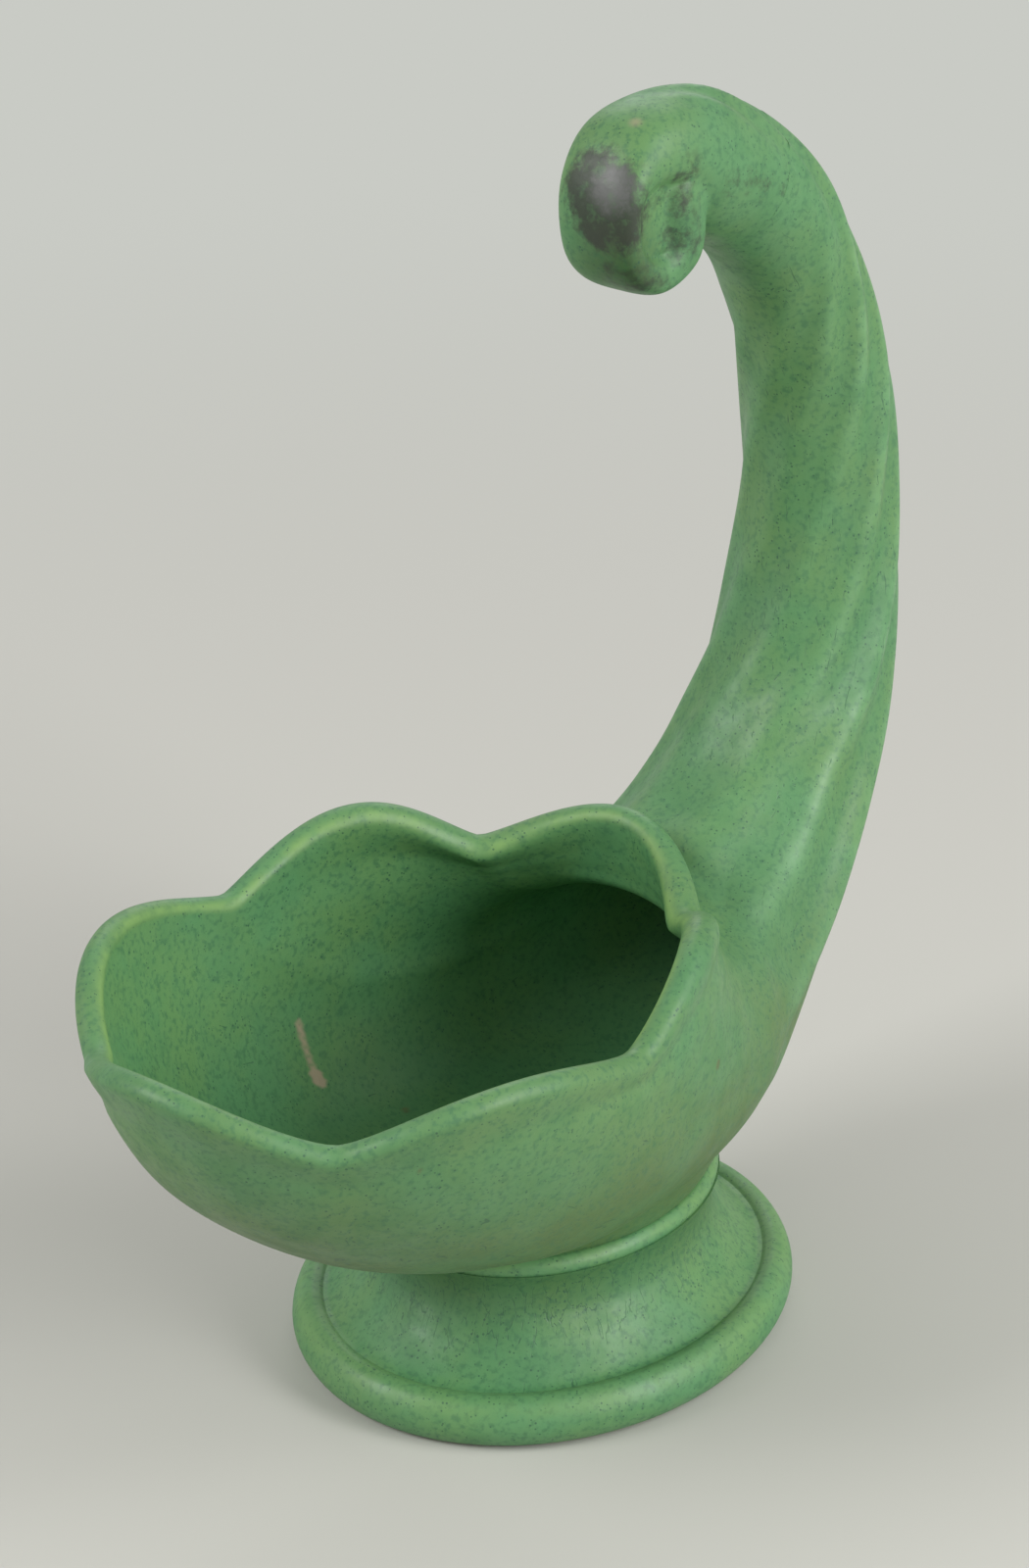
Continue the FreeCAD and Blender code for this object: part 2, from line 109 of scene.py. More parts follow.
def scaled(shares, x0, z0, x_scale, z_scale, width):
    """Rows in millimetres: each end is a start plus a share of a length, per axis."""
    rows = shares.copy()
    rows[:, [0, 2]] = x0 + shares[:, [0, 2]] * x_scale
    rows[:, [1, 3]] = z0 + shares[:, [1, 3]] * z_scale
    rows[:, 4] = shares[:, 4] * width
    return rows


ROWS = np.concatenate((
    scaled(BOWL_ROW_SHARES, CREASE_X, CREASE_Z,
           (MOUTH_X - MOUTH_HALF_LENGTH - LIP_RADIUS) - CREASE_X, CREASE_Z - BELLY_Z,
           MOUTH_HALF_WIDTH + LIP_RADIUS),
    scaled(TAIL_ROW_SHARES, CREASE_X, CREASE_Z, TAIL_REACH_X - CREASE_X,
           VASE_HEIGHT - CREASE_Z, TAIL_ROOT_HALF_WIDTH),
    scaled(SCROLL_ROW_SHARES, SCROLL_X, SCROLL_Z, SCROLL_RADIUS, SCROLL_RADIUS,
           SCROLL_HALF_WIDTH),
))
LAST = len(ROWS) - 1
print("slices in the table:", len(ROWS))

# %% A smooth curve through the rows


def through(rows, place):
    """Rows at any places: the cubic that passes each row with the slope of its
    neighbours, (next - previous) / 2, and goes on straight past both ends."""
    padded = np.concatenate((2 * rows[:1] - rows[1:2], rows, 2 * rows[-1:] - rows[-2:-1]))
    low = np.clip(np.asarray(place).astype(int), 0, len(rows) - 2)
    f = np.asarray(place - low)
    f = f.reshape(f.shape + (1,) * (rows.ndim - 1))
    p0, p1, p2, p3 = (padded[low + k] for k in range(4))
    return (2 * p1 + (p2 - p0) * f + (2 * p0 - 5 * p1 + 4 * p2 - p3) * f ** 2
            + (3 * p1 - p0 - 3 * p2 + p3) * f ** 3) / 2


def slices(t):
    """Rows of the table at any stations t."""
    return through(ROWS, np.asarray(t, float))


def ramp(x):
    """Smooth step: 3x^2 - 2x^3 between 0 and 1."""
    x = np.clip(x, 0, 1)
    return x * x * (3 - 2 * x)


FINE_STEPS = 40
FINE = np.linspace(0, LAST, LAST * FINE_STEPS + 1)
MIDDLE = slices(FINE)
MIDDLE = (MIDDLE[:, 0:2] + MIDDLE[:, 2:4]) / 2
WALK = np.concatenate(([0], np.cumsum(np.hypot(*np.diff(MIDDLE, axis=0).T))))


def stations(first, last, step):
    """Stations between two, spaced by an even walk of about step mm along the middle."""
    walk = np.interp((first, last), FINE, WALK)
    count = int(abs(walk[1] - walk[0]) / step) + 2
    return np.interp(np.linspace(walk[0], walk[1], count), WALK, FINE)


print("the horn is %.0f mm long along its middle" % WALK[-1])

# %% [markdown]
# ## Petals, belly grooves and flutes
#
# The mouth has six petals between soft notches. Each petal both rises and bulges as a
# power of a sine, and fades away below the rim. Under the notches shallow grooves run
# down the belly, and on the tail nine soft flutes turn round it like a rope. They could
# be sculpted one by one, but as one function of the place and the angle they follow the
# horn wherever it bends.

# %% Relief of the horn
PETAL_EDGES = np.radians((-32, 32, 85, 145, 215, 275, 328))
PETAL_RISES = np.array((8.3, 9.0, 8.0, 9.5, 8.0, 9.0))
PETAL_BULGES = np.array((4.0, 1.0, 3.4, 3.6, 3.4, 1.0))
PETAL_ROUNDNESS, PETAL_FADE_STATION, PETAL_FADE_POWER = 1.25, 3.6, 2.2
BELLY_GROOVE_DEPTH, BELLY_END_STATION, BELLY_FADE_STATIONS = 0.9, 10, 6
FLUTE_COUNT, FLUTE_DEPTH_SHARE, FLUTE_PROUD_SHARE = 9, 0.1, 0.4
FLUTE_SHARPNESS, FLUTE_INNER_SHARE = 0.9, 0.4
FLUTE_START_STATIONS = (6, 8)
FLUTE_END_STATIONS = np.array(((16.4, 18.2), (20.0, 21.2)))
FLUTE_FIRST_STATION = 7
FLUTE_TURNS = np.radians((357, 348, 343.5, 343, 338, 318, 300, 281, 259, 237, 215, 187,
                          152, 109, 63))


def petal(theta):
    """Share of the petal, sin(pi * part) ** 1.25, with its bulge and rise, at an angle."""
    turn = np.mod(theta - PETAL_EDGES[0], 2 * np.pi) + PETAL_EDGES[0]
    number = np.clip(np.searchsorted(PETAL_EDGES, turn, side="right") - 1, 0, 5)
    part = (turn - PETAL_EDGES[number]) / (PETAL_EDGES[number + 1] - PETAL_EDGES[number])
    share = np.clip(np.sin(np.pi * part), 0, 1) ** PETAL_ROUNDNESS
    return share, PETAL_BULGES[number], PETAL_RISES[number]


def flute_share(t, theta):
    """Lowering of the skin by the flutes, as a share of the radius: 0 on a ridge and
    ((1 - cos(count * turn)) / 2) ** 0.9 beside it, less the share by which ridges stand
    proud. The ridge follows the table of turns. On the inner side of the bend the flutes
    are shallower, and there and on the flanks they end sooner than on the back."""
    turn = through(FLUTE_TURNS, np.clip(t - FLUTE_FIRST_STATION, 0, len(FLUTE_TURNS) - 1))
    valley = ((1 - np.cos(FLUTE_COUNT * (theta - turn))) / 2) ** FLUTE_SHARPNESS
    outer, back = ramp(1 - np.cos(theta)), ramp(-np.cos(theta))
    start, stop = (FLUTE_END_STATIONS[0, k] + np.ptp(FLUTE_END_STATIONS, axis=0)[k] * back
                   for k in range(2))
    strength = FLUTE_INNER_SHARE + (1 - FLUTE_INNER_SHARE) * outer
    begin = ramp((t - FLUTE_START_STATIONS[0]) / np.ptp(FLUTE_START_STATIONS))
    strength = strength * begin * (1 - ramp((t - start) / (stop - start)))
    return FLUTE_DEPTH_SHARE * strength * (valley - FLUTE_PROUD_SHARE)


def relief(t, theta):
    """Petal bulge, less belly groove, in mm out of the plain slice."""
    share, bulge, _ = petal(theta)
    fade = np.clip(1 - t / PETAL_FADE_STATION, 0, 1) ** PETAL_FADE_POWER
    belly = (1 - fade) * np.clip((BELLY_END_STATION - t) / BELLY_FADE_STATIONS, 0, 1)
    return bulge * share * fade - BELLY_GROOVE_DEPTH * belly * (1 - share) ** 2


# %% The skin of the horn
SLOPE_STEP = 0.002  # radians each way, to measure the outline's slope


def flat(t, theta, rows, inset):
    """Place in the slice: a superellipse (|cos|^n + |sin|^n)^(-1/n), plus the relief."""
    depth = np.hypot(rows[..., 0] - rows[..., 2], rows[..., 1] - rows[..., 3]) / 2
    along, across = np.cos(theta), np.sin(theta)
    square = 2 + (rows[..., 5] - 2) * ramp(-along)
    reach = (np.abs(along) ** square + np.abs(across) ** square) ** (-1 / square)
    flute = flute_share(t, theta) * np.clip(1 - inset / WALL, 0, 1)
    reach = reach * (1 + 2 * relief(t, theta) / (depth + rows[..., 4]) - flute)
    return depth * along * reach, rows[..., 4] * across * reach


def horn(t, theta, inset=0.0):
    """Points of the horn at stations t and angles theta, set in from the skin by inset
    along the outline's own normal, and lifted by the petals: arrays of x, y, z in mm."""
    t, theta, inset = np.broadcast_arrays(np.asarray(t, float), theta, inset)
    rows = slices(t)
    middle = (rows[..., 0:2] + rows[..., 2:4]) / 2
    depth = np.hypot(*(rows[..., 0:2] - rows[..., 2:4]).T).T / 2
    way = (rows[..., 0:2] - middle) / depth[..., None]
    along, across = flat(t, theta, rows, inset)
    before = flat(t, theta - SLOPE_STEP, rows, inset)
    after = flat(t, theta + SLOPE_STEP, rows, inset)
    run = np.hypot(after[0] - before[0], after[1] - before[1])
    along = along - inset * (after[1] - before[1]) / run
    across = across + inset * (after[0] - before[0]) / run
    share, _, rise = petal(theta)
    lift = rise * share * np.clip(1 - t / PETAL_FADE_STATION, 0, 1) ** PETAL_FADE_POWER
    return np.stack((middle[..., 0] + way[..., 0] * along, across,
                     middle[..., 1] + way[..., 1] * along + lift), axis=-1)


def angles(count):
    """Even angles round a slice, without the last, which is the first again."""
    return np.linspace(0, 2 * np.pi, count, endpoint=False)


print("mouth at the notches:", np.round(horn(0.0, PETAL_EDGES[:6]), 1).tolist())

# %% [markdown]
# ## From arrays to meshes
#
# A grid of points becomes a mesh of four-sided faces. All the shells here close on
# themselves both ways, as a tyre does, so they have an inside and an outside: the signed
# volume tells which way the faces point, and they are turned round if it is negative.
# Patterns on the glaze follow numbers that are stored on the points: how much of an edge
# a point lies on, how smoked it is, how scarred, and how much painted shade it gets.

# %% Mesh helpers
SHARP_ANGLE = math.radians(50)


def grid_faces(rows, columns, close_rows, close_columns):
    """Faces between neighbours on a grid; a closed way joins the last to the first."""
    i = np.arange(rows if close_rows else rows - 1)[:, None]
    j = np.arange(columns if close_columns else columns - 1)[None, :]
    i2, j2 = (i + 1) % rows, (j + 1) % columns
    return np.stack((i * columns + j, i * columns + j2, i2 * columns + j2,
                     i2 * columns + j), axis=-1).reshape(-1, 4)


def volume(points, quads):
    """Signed volume: a sixth of the sum of a . (b x c) over the triangles."""
    a, b, c, d = (points[quads[:, k]] for k in range(4))
    both = np.einsum("ij,ij->i", a, np.cross(b, c)) + np.einsum("ij,ij->i", a, np.cross(c, d))
    return both.sum() / 6


def make_mesh(name, points, quads):
    """Object from points in mm and four-sided faces, turned outwards and shaded smooth,
    with the edges that bend more than an angle kept sharp."""
    if volume(points, quads) < 0:
        quads = quads[:, ::-1]
    mesh = bpy.data.meshes.new(name)
    mesh.from_pydata((points * MM).tolist(), [], quads.tolist())
    mesh.polygons.foreach_set("use_smooth", np.ones(len(quads), bool))
    mesh.set_sharp_from_angle(angle=SHARP_ANGLE)
    piece = bpy.data.objects.new(name, mesh)
    bpy.context.scene.collection.objects.link(piece)
    print("%s: %d faces, %.1f cm3" % (name, len(quads), abs(volume(points, quads)) / 1000))
    return piece


def store(piece, name, values):
    """Keeps one number per point on the mesh, for the glaze to read."""
    layer = piece.data.attributes.new(name, "FLOAT", "POINT")
    layer.data.foreach_set("value", np.asarray(values, np.float32).ravel())


def points_of(piece):
    """Points of a finished mesh as an array in mm."""
    flat_list = np.empty(len(piece.data.vertices) * 3)
    piece.data.vertices.foreach_get("co", flat_list)
    return flat_list.reshape(-1, 3) / MM


# %% [markdown]
# ## The bowl
#
# One shell goes up the outside, over the rounded lip and down the inside, and a narrow
# ring closes it in the plane where the tail is luted on. Under the belly the pot was
# seated on an oval pad: points of the belly that lie within the pad are pushed out along
# their own normals until they reach its side, with a soft blend, as slip fills a corner.

# %% The lip and the walls
AROUND = 256
LIP_SWELL, LIP_SWELL_AT, LIP_SWELL_WIDTH = 1.0, math.radians(42), 0.45


def lip_radius(theta):
    """Radius of the lip: 2.5 mm, and a little more where it turns towards the tail."""
    bump = sum(np.exp(-((np.mod(theta - at + np.pi, 2 * np.pi) - np.pi) / LIP_SWELL_WIDTH) ** 2)
               for at in (LIP_SWELL_AT, -LIP_SWELL_AT))
    return LIP_RADIUS + LIP_SWELL * bump


def lip(turn, theta):
    """Half circle from the outer to the inner edge of the rim: middle + half * cos(turn),
    and up by the radius times sin(turn)."""
    radius = lip_radius(theta)
    outside, inside = horn(0.0, theta), horn(0.0, theta, 2 * radius)
    points = (outside + inside) / 2 + (outside - inside) / 2 * np.cos(turn)[..., None]
    points[..., 2] += radius * np.sin(turn)
    return points


def wall(t, theta):
    """Thickness of the wall: the lip's at the rim, passing into the bowl's own."""
    return 2 * lip_radius(theta) + (WALL - 2 * lip_radius(theta)) * ramp(t)


print("lip radius in mm: %.2f to %.2f" % (lip_radius(angles(AROUND)).min(),
                                          lip_radius(angles(AROUND)).max()))

# %% The pad under the belly
SEAT_Z, PAD_HALF_LENGTH, PAD_HALF_WIDTH = 28.2, 34.4, 27.4
PAD_HEIGHT, PAD_SPREAD, PAD_BLEND = 15.0, 6.0, 1.4
PAD_REACH, PAD_STEPS = 14.0, 141  # the longest push tried, and how many are tried


def in_pad(points):
    """Depth below the side and above the foot of the pad: positive inside it."""
    share = np.clip((points[..., 2] - SEAT_Z) / PAD_HEIGHT, 0, 1)
    spread = PAD_SPREAD * (1 - (1 - share) ** 2)
    round_x = points[..., 0] / (PAD_HALF_LENGTH + spread / 3)
    round_y = points[..., 1] / (PAD_HALF_WIDTH + spread)
    side = (1 - np.hypot(round_x, round_y)) * PAD_HALF_WIDTH
    top = SEAT_Z + PAD_HEIGHT - points[..., 2]
    return np.minimum(np.minimum(side, points[..., 2] - SEAT_Z), top)


def normals_of(grid):
    """Unit normals of a grid that closes round: cross product of its two slopes."""
    along = np.gradient(grid, axis=0)
    around = (np.roll(grid, -1, axis=1) - np.roll(grid, 1, axis=1)) / 2
    cross = np.cross(along, around)
    return cross / np.maximum(np.linalg.norm(cross, axis=-1, keepdims=True), 1e-9)


def seat_belly(grid):
    """Belly pushed out to the pad: the longest step along the normal that stays in it."""
    normals = normals_of(grid)
    low = grid[..., 2] < SEAT_Z + PAD_HEIGHT
    normals = np.where((normals[..., 2:] > 0) & low[..., None], -normals, normals)
    reach = np.zeros(grid.shape[:2])
    for step in np.linspace(0, PAD_REACH, PAD_STEPS):
        inside = in_pad(grid + normals * step) > 0
        reach = np.where(inside & low, step, reach)
    soft = reach + PAD_BLEND * np.log1p(np.exp(-reach / PAD_BLEND)) - PAD_BLEND * math.log(2)
    reach = np.where(reach > 0, soft, 0)
    print("belly pushed out by up to %.1f mm" % reach.max())
    return grid + normals * reach[..., None]


# %% Make the bowl
OUTER_STEP, INNER_STEP, LIP_STEPS = 0.9, 1.3, 14
WAIST_DEPTH, WAIST_STATION, WAIST_SPREAD = 0.7, 0.62, 0.30
theta = angles(AROUND)[None, :]
up = stations(BOWL_TAIL_JOINT, 0, OUTER_STEP)[:, None]
down = stations(0, BOWL_TAIL_JOINT, INNER_STEP)[:, None]
over = np.linspace(0, np.pi, LIP_STEPS)[1:-1, None]

# The lip is rolled out a little, so the skin draws in just below it.
waist = WAIST_DEPTH * np.exp(-((up - WAIST_STATION) / WAIST_SPREAD) ** 2)
outside = seat_belly(horn(up, theta, waist))
rim = lip(*np.broadcast_arrays(over, theta))
inside = horn(down, theta, wall(down, theta))
bowl_grid = np.concatenate((outside, rim, inside))
bowl = make_mesh("bowl_shell", bowl_grid.reshape(-1, 3),
                 grid_faces(len(bowl_grid), AROUND, True, True))

# %% [markdown]
# ## The tail
#
# The tail is the same horn between two joint planes, with the hollow set in by the wall
# and both ends closed by a narrow ring, which the pieces on either side cover.

# %% Make the tail
AROUND_TAIL, TAIL_OUTER_STEP, TAIL_INNER_STEP = 216, 0.75, 1.6
theta_tail = angles(AROUND_TAIL)[None, :]
rise = stations(BOWL_TAIL_JOINT, TAIL_SCROLL_JOINT, TAIL_OUTER_STEP)[:, None]
fall = stations(TAIL_SCROLL_JOINT, BOWL_TAIL_JOINT, TAIL_INNER_STEP)[:, None]
tail_grid = np.concatenate((horn(rise, theta_tail), horn(fall, theta_tail, WALL)))
tail = make_mesh("tail_shell", tail_grid.reshape(-1, 3),
                 grid_faces(len(tail_grid), AROUND_TAIL, True, True))

# %% [markdown]
# ## The scroll
#
# The tip of the tail is rolled up like a ribbon, and its turns were pressed together and
# softened in the mould. So the arch, the roll and the eye are made as closed shapes that
# overlap, and a voxel remesh joins them into one skin, which is then smoothed a little.
# A boolean would join them too, but would leave hard lines where clay and glaze are soft.

# %% Closed shapes of the scroll
AROUND_ROLL, AROUND_EYE = 96, 72
ARCH_OVERLAP, ARCH_STEP, ROLL_OVERLAP, ROLL_SLICES = 1.2, 0.8, 0.6, 90
EYE_RADIUS, EYE_HALF_WIDTH, EYE_ROUNDING = 8.4, 7.4, 2.4
INNER_TURN_PLACE = (SCROLL_X + 6.6, 0.0, SCROLL_Z - 2.6)
INNER_TURN_RADII = (6.2, 9.9, 8.6)
POLE = 1e-3  # radius in mm, or angle in radians, left open at a pole for the remesh to close


def capped(t_list):
    """Closed shape of the horn between two stations: each end shrinks to a point."""
    grid = horn(t_list[:, None], angles(AROUND_ROLL)[None, :])
    first, last = grid[:1].mean(1, keepdims=True), grid[-1:].mean(1, keepdims=True)
    near_first, near_last = (grid[:1] + first * 3) / 4, (grid[-1:] + last * 3) / 4
    return np.concatenate((first + (grid[:1] - first) * 1e-4, near_first, grid, near_last,
                           last + (grid[-1:] - last) * 1e-4))


def eye(radius, half_width, rounding):
    """Flat round boss across the roll: a rounded rectangle turned about its middle."""
    turn = angles(AROUND_EYE)[None, :]
    corner = np.linspace(0, np.pi / 2, 7)
    r = np.concatenate(([POLE, radius / 2], radius - rounding + rounding * np.sin(corner),
                        radius - rounding + rounding * np.cos(corner), [radius / 2, POLE]))
    y = np.concatenate(([half_width] * 2, half_width - rounding + rounding * np.cos(corner),
                        -half_width + rounding - rounding * np.sin(corner), [-half_width] * 2))
    return np.stack((SCROLL_X + r[:, None] * np.cos(turn), y[:, None] + 0 * turn,
                     SCROLL_Z + r[:, None] * np.sin(turn)), axis=-1)


def lobe(place, radii):
    """Closed ellipsoid: the inner turn of the roll, which swells beside the eye."""
    turn = angles(AROUND_EYE)[None, :]
    tilt = np.linspace(POLE, np.pi - POLE, AROUND_EYE // 2)[:, None]
    return np.stack((place[0] + radii[0] * np.sin(tilt) * np.cos(turn),
                     place[1] + radii[1] * np.cos(tilt) + 0 * turn,
                     place[2] + radii[2] * np.sin(tilt) * np.sin(turn)), axis=-1)


arch = capped(stations(TAIL_SCROLL_JOINT - ARCH_OVERLAP, ROLL_SPLIT, ARCH_STEP))
roll = capped(np.linspace(ROLL_SPLIT - ROLL_OVERLAP, LAST, ROLL_SLICES))
boss = eye(EYE_RADIUS, EYE_HALF_WIDTH, EYE_ROUNDING)
inner_turn = lobe(INNER_TURN_PLACE, INNER_TURN_RADII)
print("points of arch, roll, boss and inner turn:",
      [grid[..., 0].size for grid in (arch, roll, boss, inner_turn)])

# %% One skin round them
VOXEL_MM, SMOOTH_ROUNDS = 0.5, 11


def remeshed(name, grids):
    """One closed skin round several closed grids: voxel remesh, then smoothing."""
    points, quads, start = [], [], 0
    for grid in grids:
        faces = grid_faces(grid.shape[0], grid.shape[1], False, True)
        flat_points = grid.reshape(-1, 3)
        if volume(flat_points, faces) < 0:
            faces = faces[:, ::-1]
        points.append(flat_points)
        quads.append(faces + start)
        start += len(flat_points)
    rough = bpy.data.meshes.new(name + "_rough")
    rough.from_pydata((np.concatenate(points) * MM).tolist(), [], np.concatenate(quads).tolist())
    holder = bpy.data.objects.new(name + "_rough", rough)
    bpy.context.scene.collection.objects.link(holder)
    remesh = holder.modifiers.new("remesh", "REMESH")
    remesh.mode = "VOXEL"
    remesh.voxel_size = VOXEL_MM * MM
    smooth = holder.modifiers.new("smooth", "SMOOTH")
    smooth.factor = 0.5
    smooth.iterations = SMOOTH_ROUNDS
    bpy.context.view_layer.update()
    graph = bpy.context.evaluated_depsgraph_get()
    mesh = bpy.data.meshes.new_from_object(holder.evaluated_get(graph))
    bpy.data.objects.remove(holder)
    coords = np.empty(len(mesh.vertices) * 3)
    mesh.vertices.foreach_get("co", coords)
    corners = np.array([list(face.vertices) for face in mesh.polygons])
    print("%s: %d faces after the remesh" % (name, len(corners)))
    return coords.reshape(-1, 3) / MM, corners


# %% Make the scroll


def cut_below(points, quads, place, way):
    """Mesh data cut by a plane: what lies behind the plane goes, and a face closes it."""
    shape = bmesh.new()
    mesh = bpy.data.meshes.new("cutting")
    mesh.from_pydata(points.tolist(), [], quads.tolist())
    shape.from_mesh(mesh)
    everything = shape.verts[:] + shape.edges[:] + shape.faces[:]
    cut = bmesh.ops.bisect_plane(shape, geom=everything, dist=1e-4, plane_co=place,
                                 plane_no=way, clear_inner=True)
    rim_edges = [part for part in cut["geom_cut"] if isinstance(part, bmesh.types.BMEdge)]
    bmesh.ops.contextual_create(shape, geom=rim_edges)
    bmesh.ops.triangulate(shape, faces=[face for face in shape.faces if len(face.verts) > 4])
    shape.to_mesh(mesh)
    shape.free()
    return mesh


scroll_points, scroll_quads = remeshed("scroll_skin", (arch, roll, boss, inner_turn))
joint_row = slices(TAIL_SCROLL_JOINT)
joint_way = joint_row[2:4] - joint_row[0:2]
joint_way = joint_way / np.hypot(*joint_way)
scroll_mesh = cut_below(scroll_points * MM, scroll_quads,
                        (joint_row[0] * MM, 0, joint_row[1] * MM),
                        (-joint_way[1], 0, joint_way[0]))
scroll_mesh.polygons.foreach_set("use_smooth", np.ones(len(scroll_mesh.polygons), bool))
scroll_mesh.set_sharp_from_angle(angle=SHARP_ANGLE)
scroll = bpy.data.objects.new("scroll_skin", scroll_mesh)
bpy.context.scene.collection.objects.link(scroll)
print("scroll:", len(scroll_mesh.polygons), "faces")

# %% [markdown]
# ## The foot
#
# The foot is oval. Each part of it is a closed outline carried round the oval: a set-back
# from the foot's edge and a height. Scaling a round foot would thin the wall on the short
# side, so the set-back is taken off both half axes instead.

# %% The bead
FOOT_HALF_LENGTH, FOOT_HALF_WIDTH, BEAD_HEIGHT = 52.8, 44.6, 10.0
AROUND_FOOT, BEAD_STEPS, INSIDE_STEPS = 256, 44, 9
around_foot = angles(AROUND_FOOT)[None, :]


def smooth_through(knots, count):
    """Even points on the cubic through a few given knots."""
    knots = np.array(knots, float)
    return through(knots, np.linspace(0, len(knots) - 1, count))


def oval_ring(name, profile, half_length, half_width):
    """Closed outline (set-back, height) carried round an oval."""
    setback, height = profile[:, :1], profile[:, 1:]
    grid = np.stack(((half_length - setback) * np.cos(around_foot),
                     (half_width - setback) * np.sin(around_foot),
                     height + 0 * around_foot), axis=-1)
    return make_mesh(name, grid.reshape(-1, 3),
                     grid_faces(len(profile), AROUND_FOOT, True, True))


BEAD_SHARES = ((0.65, 0.0), (0.30, 0.085), (0.07, 0.28), (0.0, 0.48), (0.08, 0.70),
               (0.31, 0.91), (0.60, 1.0), (0.84, 0.985), (1.0, 0.94))
GROOVE_SETBACK, GROOVE_Z = 6.0, BEAD_HEIGHT * BEAD_SHARES[-1][1]
bead_outline = smooth_through(BEAD_SHARES, BEAD_STEPS) * (GROOVE_SETBACK, BEAD_HEIGHT)
bead_inside = np.linspace((GROOVE_SETBACK + WALL, GROOVE_Z), (GROOVE_SETBACK + WALL, 0),
                          INSIDE_STEPS)
bead_profile = np.vstack((bead_outline, bead_inside))
bead = oval_ring("foot_bead_glazed", bead_profile, FOOT_HALF_LENGTH, FOOT_HALF_WIDTH)

# %% The stem and the ring of slip
SHOULDER_HALF_LENGTH, SHOULDER_HALF_WIDTH = 37.4, 30.5
COVE_SHARES = ((0, 0), (0.13, 0.008), (0.30, 0.055), (0.545, 0.15), (0.785, 0.27),
               (0.96, 0.405), (1.12, 0.55), (1.17, 0.72), (1.12, 0.87), (1.0, 1.0))
RING_OUTLINE = ((-2.7, 0.0), (-2.8, 0.7), (-2.6, 1.5), (-2.1, 2.2), (-1.4, 2.7), (-0.6, 2.8))
RING_INSIDE = ((-0.3, 1.6), (-0.3, 0.0))
COVE_STEPS, RING_STEPS = 56, 24
cove = smooth_through(COVE_SHARES, COVE_STEPS)
cove_profile = np.stack(((SHOULDER_HALF_LENGTH - FOOT_HALF_LENGTH + GROOVE_SETBACK) * cove[:, 0],
                         GROOVE_Z + (SEAT_Z - GROOVE_Z) * cove[:, 1]), axis=-1)
cove_width = (SHOULDER_HALF_WIDTH - FOOT_HALF_WIDTH + GROOVE_SETBACK) * cove[:, 0]


def flank(inset, order):
    """Pedestal's flank: each half axis goes from the groove's to the shoulder's by its
    own share, so the stem stays oval, less an inset for the inner side."""
    length = FOOT_HALF_LENGTH - GROOVE_SETBACK - inset + cove_profile[order, :1]
    width = FOOT_HALF_WIDTH - GROOVE_SETBACK - inset + cove_width[order, None]
    return np.stack((length * np.cos(around_foot), width * np.sin(around_foot),
                     cove_profile[order, 1:] + 0 * around_foot), axis=-1)


upwards, downwards = np.arange(len(cove)), np.arange(len(cove))[::-1]
stem_grid = np.concatenate((flank(0.0, upwards), flank(WALL, downwards)))
stem = make_mesh("pedestal_glazed", stem_grid.reshape(-1, 3),
                 grid_faces(len(stem_grid), AROUND_FOOT, True, True))

ring_profile = np.vstack((smooth_through(RING_OUTLINE, RING_STEPS), RING_INSIDE))
ring_profile[:, 1] += SEAT_Z
ring = oval_ring("luting_ring_glazed", ring_profile, PAD_HALF_LENGTH, PAD_HALF_WIDTH)

# %% [markdown]
# ## What the glaze needs to know
#
# Where the glaze runs thin, on the lip and on ridges, it breaks to a pale yellow-green, and
# in valleys it gathers and is darker; on the flutes these tints also stand in for highlight
# and shade, so they are partly painted light. Painted shade darkens the inside of the bowl,
# the top of the stem, where glaze also pools, and the underside of the roll. The outside of
# the roll was smoked grey-black, and a drop of clay slip ran down inside the bowl. A painted
# image could hold all this, but would be tied to one unwrapping. Here each is worked out as
# a number on every point, and the finish below mixes its colours by them.

# %% Places, strokes and the flow of the skin
MM_PER_STATION = 12.5  # mean walk along the horn from one slice to the next
FLOW_STRETCH = 0.3  # patterns that follow the flow come out 1 / 0.3 times as long
HORN_FLOW_RADIUS, BEAD_FLOW_RADIUS, STEM_FLOW_RADIUS = 24.0, 48.0, 42.0


def near(points, place, radius):
    """1 at a place and 0 at a distance of radius, falling smoothly."""
    return ramp(1 - np.linalg.norm(points - np.array(place), axis=-1) / radius)


def stroke(points, start, end, radius):
    """1 on the line between two places, falling smoothly to 0 at the radius."""
    start, way = np.array(start), np.subtract(end, start)
    along = np.clip((points - start) @ way / (way @ way), 0, 1)
    return ramp(1 - np.linalg.norm(points - start - along[..., None] * way, axis=-1) / radius)


def store_flow(piece, turn, radius, along):
    """Keeps a place on the skin: round a plain tube of one radius, and along it. Patterns
    that read it run along the piece and have no seam."""
    layer = piece.data.attributes.new("flow", "FLOAT_VECTOR", "POINT")
    turn, along = np.broadcast_arrays(turn, along)
    flow = np.stack((radius * np.cos(turn), radius * np.sin(turn), along), axis=-1)
    layer.data.foreach_set("vector", flow.astype(np.float32).ravel())
    print("%s: flow of %.0f mm" % (piece.name, np.ptp(along)))


def store_flutes(piece, t, theta, is_skin):
    """Ridges, where glaze runs thin and pale, and valleys, where it gathers; their tints
    also stand in for the highlight on the crests and the shade in the grooves, so they are
    partly painted light. The numbers are the lowering of the flutes as a share of its least
    and of its most, faded out below the scroll."""
    share = flute_share(t, theta) * is_skin * ramp((TAIL_SCROLL_JOINT - t) / 2)
    store(piece, "ridge", np.clip(-share / FLUTE_DEPTH_SHARE / FLUTE_PROUD_SHARE, 0, 1))
    store(piece, "valley", np.clip(share / FLUTE_DEPTH_SHARE / (1 - FLUTE_PROUD_SHARE), 0, 1))


# %% Marks on the bowl
bowl_rows = np.arange(len(bowl_grid))[:, None] + 0 * theta
is_inside = bowl_rows >= len(outside) + len(over)
inner_edge = len(outside) + len(over) * 0.78
store(bowl, "edge", 0.85 * np.exp(-((bowl_rows - inner_edge) / 1.7) ** 2))

